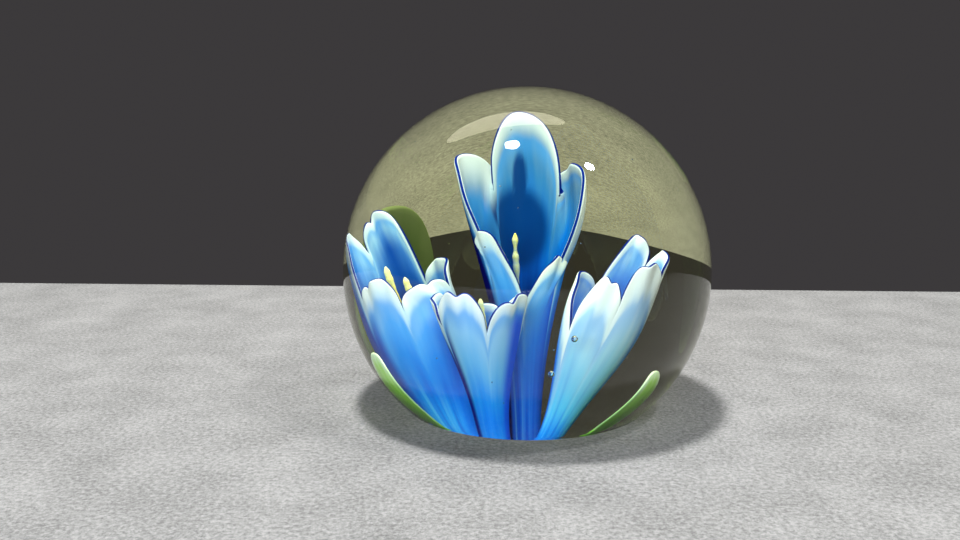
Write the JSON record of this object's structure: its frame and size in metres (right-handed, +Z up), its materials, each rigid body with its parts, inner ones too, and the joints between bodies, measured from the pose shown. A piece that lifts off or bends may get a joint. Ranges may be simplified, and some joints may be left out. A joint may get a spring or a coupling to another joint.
{
  "type": "glass paperweight",
  "caption": "Clear glass ball with a flat base and blue trumpet flowers, yellow stamens and green leaves sealed inside; holds papers down by its weight.",
  "frame": {"origin": "centre of the flat base, on the surface that the ball stands on", "axes": "+Z up through the centre of the ball, -Y towards the front, +X to the right seen from the front"},
  "size_m": [0.08, 0.08, 0.0695],
  "materials": {
    "clear_glass": "polished",
    "tall_petal_glass": "polished",
    "left_petal_glass": "polished",
    "front_petal_glass": "polished",
    "right_petal_glass": "polished",
    "leaf_glass": "polished",
    "stamen_glass": "polished",
    "pistil_glass": "polished"
  },
  "bodies": {
    "root": {"glass_ball": "clear_glass", "tall_flower_back_petal": "tall_petal_glass", "tall_flower_left_petal": "tall_petal_glass", "tall_flower_front_left_petal": "tall_petal_glass", "tall_flower_front_right_petal": "tall_petal_glass", "tall_flower_right_petal": "tall_petal_glass", "left_flower_back_petal": "left_petal_glass", "left_flower_left_petal": "left_petal_glass", "left_flower_front_left_petal": "left_petal_glass", "left_flower_front_right_petal": "left_petal_glass", "left_flower_right_petal": "left_petal_glass", "front_flower_back_petal": "front_petal_glass", "front_flower_left_petal": "front_petal_glass", "front_flower_front_left_petal": "front_petal_glass", "front_flower_front_right_petal": "front_petal_glass", "front_flower_right_petal": "front_petal_glass", "right_flower_back_petal": "right_petal_glass", "right_flower_left_petal": "right_petal_glass", "right_flower_front_left_petal": "right_petal_glass", "right_flower_front_right_petal": "right_petal_glass", "right_flower_right_petal": "right_petal_glass", "left_leaf": "leaf_glass", "right_leaf": "leaf_glass", "back_leaf": "leaf_glass", "left_rear_stamen": "stamen_glass", "left_front_stamen": "stamen_glass", "front_stamen": "stamen_glass", "tall_pistil": "pistil_glass"}
  },
  "joints": []
}
